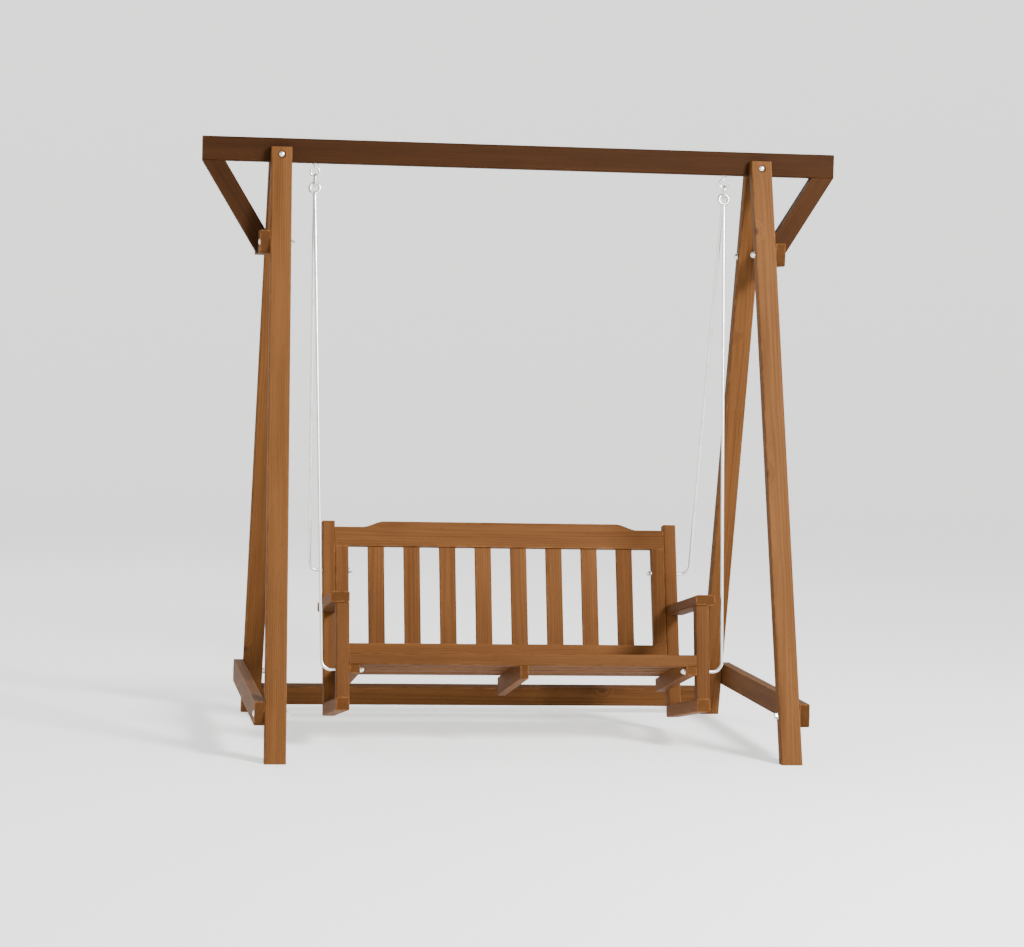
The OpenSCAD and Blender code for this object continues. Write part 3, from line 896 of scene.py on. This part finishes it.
@dataclass(frozen=True)
class CrossHead:
    """A countersunk screw head with a cross recess.

    Attributes:
        radius: The head's radius.
        neck: The shank's radius.
        depth: The depth of the head.
        edge: Height of the head's rim.
        flat_share: The flat top's share of the radius.
        slot: Half the width of the recess's arms and their reach, as shares of the radius.
        slot_depth: The recess's depth at the middle, as a share of the head's.
        sides: Number of steps round the axis.
        rings: Number of steps from the middle to the edge of the flat.
    """

    radius: float = 5.0 * MM
    neck: float = 2.5 * MM
    depth: float = 3.5 * MM
    edge: float = 0.15 * MM
    flat_share: float = 0.97
    slot: tuple[float, float] = (0.17, 0.62)
    slot_depth: float = 0.55
    sides: int = 48
    rings: int = 14

    def mesh(self, name: str) -> bpy.types.Mesh:
        """Make the head, its flat top at z = 0.

        Args:
            name: The mesh's name.

        Returns:
            The mesh.
        """
        half_width, arm = (self.radius * share for share in self.slot)
        rows = []
        for i in range(1, self.rings + 1):
            reach = self.radius * self.flat_share * i / self.rings
            row = []
            for k in range(self.sides):
                angle = 2 * math.pi * k / self.sides
                x, y = abs(reach * math.cos(angle)), abs(reach * math.sin(angle))
                inside = min(x, y) < half_width and max(x, y) < arm
                sunk = self.depth * self.slot_depth * (1 - max(x, y) / self.radius)
                row.append((reach, sunk if inside else 0.0))
            rows.append(row)
        rows.append([(self.radius, self.edge)] * self.sides)
        rows.append([(self.neck, self.depth)] * self.sides)
        return ring_surface(name, rows, looped=False)


@dataclass(frozen=True)
class EyeWeld:
    """The rippled weld round a rod, just below its eye.

    Attributes:
        root: Radius at its ends, just inside the rod.
        radius: Its greatest radius, without the ripples.
        height: Its height along the rod.
        ripples: Number of ripples round the rod.
        ripple: Height of a ripple.
        twist: Turns of the ripples from end to end.
        steps: Number of steps along the rod.
        sides: Number of steps round it.
    """

    root: float = 4.5 * MM
    radius: float = 7.2 * MM
    height: float = 9.0 * MM
    ripples: int = 5
    ripple: float = 0.25 * MM
    twist: float = 1.3
    steps: int = 10
    sides: int = 28

    def mesh(self, name: str) -> bpy.types.Mesh:
        """Make the weld from z = 0.

        Args:
            name: The mesh's name.

        Returns:
            The mesh.
        """
        rows = []
        for i in range(self.steps + 1):
            share = i / self.steps
            bulge = math.sin(math.pi * (0.12 + 0.8 * share))
            row = []
            for k in range(self.sides):
                turn = self.ripples * k / self.sides + self.twist * share
                wave = self.ripple * math.sin(2 * math.pi * turn)
                radius = self.root + (self.radius - self.root) * bulge + wave * bulge
                row.append((radius, self.height * share))
            rows.append(row)
        return ring_surface(name, rows, looped=False)


class FastenerTree:
    """A Geometry Nodes tree that sets turned parts on points along their own directions."""

    INPUTS = (("Head", "NodeSocketObject"), ("Shank", "NodeSocketObject"), ("Tip", "NodeSocketObject"),
              ("Tip length", "NodeSocketFloat"), ("Seed", "NodeSocketInt"), ("Finish", "NodeSocketMaterial"))

    def __init__(self) -> None:
        """Build the tree."""
        self.tree = bpy.data.node_groups.new("fasteners_on_points", "GeometryNodeTree")
        face = self.tree.interface
        face.new_socket("Points", in_out="INPUT", socket_type="NodeSocketGeometry")
        for name, kind in self.INPUTS:
            face.new_socket(name, in_out="INPUT", socket_type=kind)
        face.new_socket("Geometry", in_out="OUTPUT", socket_type="NodeSocketGeometry")
        self._wire()

    def _add(self, kind: str, inputs: dict | None = None, **settings: object) -> bpy.types.Node:
        """Add a node.

        Args:
            kind: The node type's name.
            inputs: Values or sockets for its inputs, by name or index.
            **settings: Attributes of the node.

        Returns:
            The new node.
        """
        return add_node(self.tree, kind, inputs, settings)

    def _wire(self) -> None:
        """Join the nodes."""
        given = self._add("NodeGroupInput").outputs
        stored = "GeometryNodeInputNamedAttribute"
        axis = self._add(stored, {"Name": "axis"}, data_type="FLOAT_VECTOR").outputs[0]
        length = self._add(stored, {"Name": "length"}, data_type="FLOAT").outputs[0]
        lined = self._add("FunctionNodeAlignRotationToVector", {"Vector": axis}, axis="Z").outputs[0]
        roll = self._add("FunctionNodeRandomValue", {"Max": (0.0, 0.0, 2 * math.pi), "Seed": given["Seed"]},
                         data_type="FLOAT_VECTOR").outputs[0]
        own = self._add("FunctionNodeEulerToRotation", {0: roll}).outputs[0]
        turn = self._add("FunctionNodeRotateRotation", {0: lined, 1: own}, rotation_space="LOCAL").outputs[0]
        tip = given["Tip length"]
        rest = self._add("ShaderNodeMath", {0: length, 1: tip}, operation="SUBTRACT").outputs[0]
        scale = self._add("ShaderNodeCombineXYZ", {0: 1.0, 1: 1.0, 2: rest}).outputs[0]
        ahead = self._add("ShaderNodeVectorMath", {0: axis, "Scale": rest}, operation="SCALE").outputs[0]
        far = self._add("GeometryNodeSetPosition", {"Geometry": given["Points"], "Offset": ahead}).outputs[0]
        join = self._add("GeometryNodeJoinGeometry")
        for name, points, size in (("Head", given["Points"], None), ("Shank", given["Points"], scale),
                                   ("Tip", far, None)):
            part = self._add("GeometryNodeObjectInfo", {"Object": given[name]}).outputs["Geometry"]
            inputs = {"Points": points, "Instance": part, "Rotation": turn}
            if size is not None:
                inputs["Scale"] = size
            placed = self._add("GeometryNodeInstanceOnPoints", inputs).outputs[0]
            self.tree.links.new(placed, join.inputs[0])
        real = self._add("GeometryNodeRealizeInstances", {0: join.outputs[0]}).outputs[0]
        done = self._add("GeometryNodeSetMaterial", {0: real, "Material": given["Finish"]}).outputs[0]
        self._add("NodeGroupOutput", {0: done})

    def make(self, name: str, seats: list[Seat], parts: dict[str, bpy.types.Mesh], tip: float,
             finish: bpy.types.Material, seed: int) -> bpy.types.Object:
        """Set the parts on the seats and turn the result into a plain mesh object.

        Args:
            name: The new object's name.
            seats: Where the fasteners sit.
            parts: The meshes, by the name of the tree's input.
            tip: Length of the tip, or 0.
            finish: The material.
            seed: Seed of each fastener's roll.

        Returns:
            The new object.
        """
        points = bpy.data.meshes.new(f"{name}_points")
        points.from_pydata([s.start for s in seats], [], [])
        axes = points.attributes.new("axis", "FLOAT_VECTOR", "POINT")
        axes.data.foreach_set("vector", [c for s in seats for c in s.axis])
        lengths = points.attributes.new("length", "FLOAT", "POINT")
        lengths.data.foreach_set("value", [s.length for s in seats])
        carrier = bpy.data.objects.new(f"{name}_carrier", points)
        bpy.context.scene.collection.objects.link(carrier)
        modifier = carrier.modifiers.new("fasteners", "NODES")
        modifier.node_group = self.tree
        masters = {key: bpy.data.objects.new(f"{name}_{key}", mesh) for key, mesh in parts.items()}
        values = {"Tip length": tip, "Seed": seed, "Finish": finish, **masters}
        for item in self.tree.interface.items_tree:
            if item.in_out == "INPUT" and item.name in values:
                modifier[item.identifier] = values[item.name]
        graph = bpy.context.evaluated_depsgraph_get()
        mesh = bpy.data.meshes.new_from_object(carrier.evaluated_get(graph))
        bpy.data.objects.remove(carrier)
        for master in masters.values():
            bpy.data.objects.remove(master)
        mesh.name = name
        mesh.polygons.foreach_set("use_smooth", [True] * len(mesh.polygons))
        mesh.set_sharp_from_angle(angle=math.radians(32))
        piece = bpy.data.objects.new(name, mesh)
        bpy.context.scene.collection.objects.link(piece)
        return piece


@dataclass
class SteelWork:
    """Hooks, links, rods and fasteners.

    Attributes:
        finish: The zinc on all of them.
        bolt: Radius of the bolts and rods.
        bolt_tip: Length of the bolts' thread.
        screw: Radius of the screws.
        screw_tip: Length of the screws' thread.
        screw_thread: The screws' thread.
        rod_thread: How much the rods' thread stands over the rod.
        rod_pitch: Pitch of the rods' thread.
        rod_stand: How far a rod's end stands out of its nut.
        washer: Thickness of the washers.
        weld: The weld below a rod's eye.
        weld_drop: How far below a rod's top the weld is measured from.
        weld_lift: How far above that it starts.
        seed: Seed of the fasteners' roll.
    """

    finish: ZincFinish = ZincFinish()
    bolt: float = 5.0 * MM
    bolt_tip: float = 32.0 * MM
    screw: float = 2.5 * MM
    screw_tip: float = 22.0 * MM
    screw_thread: Thread = Thread(crest=2.5 * MM, depth=0.5 * MM, pitch=1.8 * MM, sides=14, per_turn=5)
    rod_thread: float = 0.3 * MM
    rod_pitch: float = 1.25 * MM
    rod_stand: float = 4.0 * MM
    washer: float = 2.0 * MM
    weld: EyeWeld = EyeWeld()
    weld_drop: float = 44.0 * MM
    weld_lift: float = 8.0 * MM
    seed: int = 3

    def build(self, frame: dict) -> None:
        """Dress the steel nodes, and make the fasteners in full detail.

        Args:
            frame: The loaded frame.
        """
        zinc = self.finish.material("zinc")
        for row in frame["record"]["subparts"]:
            if row["material_slot"] == Metal.ZINC.value:
                put_material(frame["nodes"][row["node"]], zinc)
        tree = FastenerTree()
        for node in ("beam_bolts", "cleat_bolts", "board_bolts"):
            parts = {"Head": DomeHead().mesh("head"), "Shank": self._shank(self.bolt),
                     "Tip": Thread(crest=self.bolt).mesh("tip", self.bolt_tip)}
            self._place(frame, tree, f"{node}_threaded", node, "frame", parts, self.bolt_tip, zinc)
        for node, body in (("frame_nuts", "frame"), ("rod_nuts", "seat")):
            parts = {"Head": HexNut(shaft=self.bolt).mesh("nut")}
            self._place(frame, tree, f"{node}_chamfered", node, body, parts, 0.0, zinc)
        for node, body in (("brace_screws", "frame"), ("rail_screws", "frame"), ("slat_screws", "seat"),
                           ("seat_frame_screws", "seat")):
            parts = {"Head": CrossHead().mesh("head"), "Shank": self._shank(self.screw * 0.9),
                     "Tip": self.screw_thread.mesh("tip", self.screw_tip)}
            self._place(frame, tree, f"{node}_cross_head", node, body, parts, self.screw_tip, zinc)
        self._rod_ends(frame, tree, zinc)
        self._eye_welds(frame, tree, zinc)

    def _shank(self, radius: float) -> bpy.types.Mesh:
        """Make a shank of unit length, which is stretched to each fastener's own.

        Args:
            radius: The shank's radius.

        Returns:
            The mesh, which starts just inside the head.
        """
        start = 0.02
        return turned("shank", [(radius, start), (radius, 1.0)], sides=24)

    def _place(self, frame: dict, tree: FastenerTree, name: str, node: str, body: str,
               parts: dict[str, bpy.types.Mesh], tip: float, zinc: bpy.types.Material) -> None:
        """Make the detailed fasteners of one node and let them stand for it.

        Args:
            frame: The loaded frame.
            tree: The tree that places them.
            name: The new piece's name.
            node: The node that they stand for.
            body: The body that they ride on.
            parts: The meshes of one fastener.
            tip: Length of the tip.
            zinc: Their material.
        """
        piece = tree.make(name, seats_in(frame, node), parts, tip, zinc, self.seed)
        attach(piece, body)
        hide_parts(node)
        LOG.info("fasteners %s: %d triangles", name, len(piece.data.polygons))

    def _rod_ends(self, frame: dict, tree: FastenerTree, zinc: bpy.types.Material) -> None:
        """Cut a thread on each rod end, from inside its nut to its tip.

        Args:
            frame: The loaded frame.
            tree: The tree that places it.
            zinc: Its material.
        """
        nuts = seats_in(frame, "rod_nuts")
        seats = [Seat(nut.start + nut.axis * self.washer, nut.axis, nut.length) for nut in nuts]
        reach = nuts[0].length - self.washer + self.rod_stand
        thread = Thread(crest=self.bolt + self.rod_thread, depth=self.rod_thread * 0.9, pitch=self.rod_pitch)
        head = {"Head": thread.mesh("thread", reach)}
        self._ride_seat(tree.make("rod_end_threads", seats, head, 0.0, zinc, self.seed))

    def _eye_welds(self, frame: dict, tree: FastenerTree, zinc: bpy.types.Material) -> None:
        """Run a weld round each rod, just below its eye.

        Args:
            frame: The loaded frame.
            tree: The tree that places it.
            zinc: Its material.
        """
        further = 16.0 * MM
        seats = []
        for node in ("front_rod_left", "front_rod_right", "rear_rod_left", "rear_rod_right"):
            high = self._level(frame, node, self.weld_drop)
            axis = (self._level(frame, node, self.weld_drop + further) - high).normalized()
            seats.append(Seat(high - axis * self.weld_lift, axis, self.weld.height))
        head = {"Head": self.weld.mesh("weld")}
        self._ride_seat(tree.make("eye_welds", seats, head, 0.0, zinc, self.seed))

    def _ride_seat(self, piece: bpy.types.Object) -> None:
        """Let a steel piece ride on the seat.

        Args:
            piece: The piece.
        """
        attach(piece, "seat")
        LOG.info("steel %s: %d faces", piece.name, len(piece.data.polygons))

    def _level(self, frame: dict, node: str, below: float) -> Vector:
        """Find the middle of a rod's straight run at a distance below its top.

        Args:
            frame: The loaded frame.
            node: The rod's node.
            below: The distance below its top.

        Returns:
            The middle of the rod there.
        """
        points = np.array([v.co for v in frame["nodes"][node].data.vertices])
        heights = points[:, 2]
        under_eye = heights.max() - 26 * MM
        over_bend = heights.min() + 50 * MM
        first = box_middle(points[(heights < under_eye) & (heights > under_eye - 18 * MM)])
        last = box_middle(points[(heights < over_bend) & (heights > over_bend - 25 * MM)])
        share = (heights.max() - below - first.z) / (last.z - first.z)
        return first.lerp(last, share)


def box_middle(points: np.ndarray) -> Vector:
    """Give the middle of the box round some points.

    Args:
        points: The points.

    Returns:
        The middle.
    """
    return Vector((points.min(axis=0) + points.max(axis=0)) / 2)


# ---- Studio ----


@dataclass(frozen=True)
class Lamp:
    """A square soft light.

    Attributes:
        name: The light's name.
        place: Where it stands.
        side: Its side.
        power: Its power in watts.
    """

    name: str
    place: Colour
    side: float
    power: float


@dataclass
class Studio:
    """A plain pale floor that curves up far away on all sides, under soft light.

    Attributes:
        flat: Radius of the level floor.
        sweep: Radius of the curve from floor to wall.
        wall: Height of the wall above the curve.
        colour: Colour of the floor and wall.
        glow: Strength of the wall's own even light.
        sky: Strength of the even light from above.
        lamps: The soft lights.
        aim: The point that they face.
    """

    flat: float = 13.0
    sweep: float = 7.0
    wall: float = 5.0
    colour: Colour = (0.84, 0.84, 0.83)
    glow: float = 0.85
    sky: float = 0.46
    lamps: tuple[Lamp, ...] = (
        Lamp("key", (3.6, -5.2, 4.6), 1.7, 1280.0),
        Lamp("fill", (-5.0, -4.6, 2.6), 3.0, 20.0),
        Lamp("back", (-2.0, 4.8, 4.2), 2.6, 90.0),
    )
    aim: Colour = (0.0, 0.0, 0.9)

    def build(self) -> None:
        """Make the floor, the lights and the even surround."""
        self._floor()
        self._surround()
        for lamp in self.lamps:
            self._light(lamp)

    def _floor(self) -> None:
        """Turn the floor's profile about the upright axis."""
        steps, sides = 16, 96
        profile = [(self.flat * share, 0.0) for share in (0.25, 0.5, 0.75, 1.0)]
        for i in range(1, steps + 1):
            angle = math.pi / 2 * i / steps
            profile.append((self.flat + self.sweep * math.sin(angle), self.sweep * (1 - math.cos(angle))))
        profile.append((self.flat + self.sweep, self.sweep + self.wall))
        mesh = ring_mesh("floor", [[point] * sides for point in profile], closed_end=False)
        for face in mesh.polygons:
            face.use_smooth = True
        floor = bpy.data.objects.new("floor", mesh)
        bpy.context.scene.collection.objects.link(floor)
        g = Graph("floor_paint")
        shader = g.add("ShaderNodeBsdfPrincipled", {"Base Color": colour4(self.colour), "Roughness": 0.9,
                                                    "Emission Color": colour4(self.colour),
                                                    "Emission Strength": self.glow})
        g.add("ShaderNodeOutputMaterial", {0: shader.outputs[0]})
        mesh.materials.append(g.material)

    def _surround(self) -> None:
        """Light the scene evenly from above."""
        world = bpy.data.worlds.new("surround")
        world.use_nodes = True
        background = world.node_tree.nodes["Background"]
        background.inputs[0].default_value = (0.97, 0.98, 1.0, 1.0)
        background.inputs[1].default_value = self.sky
        bpy.context.scene.world = world

    def _light(self, lamp: Lamp) -> None:
        """Add a soft light.

        Args:
            lamp: The light.
        """
        data = bpy.data.lights.new(lamp.name, "AREA")
        data.size = lamp.side
        data.energy = lamp.power
        light = bpy.data.objects.new(lamp.name, data)
        light.location = lamp.place
        light.rotation_euler = (Vector(self.aim) - Vector(lamp.place)).to_track_quat("-Z", "Y").to_euler()
        bpy.context.scene.collection.objects.link(light)


@dataclass
class View:
    """The camera, a long lens a little to the left of the seat.

    Attributes:
        place: Where the camera stands.
        yaw: Its turn to the right, in degrees.
        pitch: Its tilt down, in degrees.
        roll: Its roll, in degrees.
        lens: Its focal length in millimetres, on a 36 mm sensor.
        shift: Its shift across and up.
    """

    place: Colour = (-1.485, -8.661, 1.370)
    yaw: float = 7.2
    pitch: float = 3.8
    roll: float = 1.3
    lens: float = 93.2
    shift: tuple[float, float] = (0.113, 0.0247)

    def build(self) -> None:
        """Make the camera and give it to the scene."""
        yaw, pitch, roll = (math.radians(a) for a in (self.yaw, self.pitch, self.roll))
        ahead = Vector((math.sin(yaw) * math.cos(pitch), math.cos(yaw) * math.cos(pitch), -math.sin(pitch)))
        right = Vector((math.cos(yaw), -math.sin(yaw), 0.0))
        up = right.cross(ahead)
        across = math.cos(roll) * right + math.sin(roll) * up
        above = math.cos(roll) * up - math.sin(roll) * right
        data = bpy.data.cameras.new("camera")
        data.lens = self.lens
        data.sensor_width = 36.0
        data.shift_x, data.shift_y = self.shift
        camera = bpy.data.objects.new("camera", data)
        turn = Matrix((across, above, -ahead)).transposed().to_4x4()
        camera.matrix_world = Matrix.Translation(self.place) @ turn
        bpy.context.scene.collection.objects.link(camera)
        bpy.context.scene.camera = camera


def main() -> None:
    """Load the frame and build the studio, the finishes and the small hardware around it."""
    logging.basicConfig(level=logging.INFO, format="%(name)s: %(message)s")
    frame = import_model()
    View().build()
    Studio().build()
    TimberWork().dress(frame)
    SteelWork().build(frame)


if __name__ == "__main__":
    main()
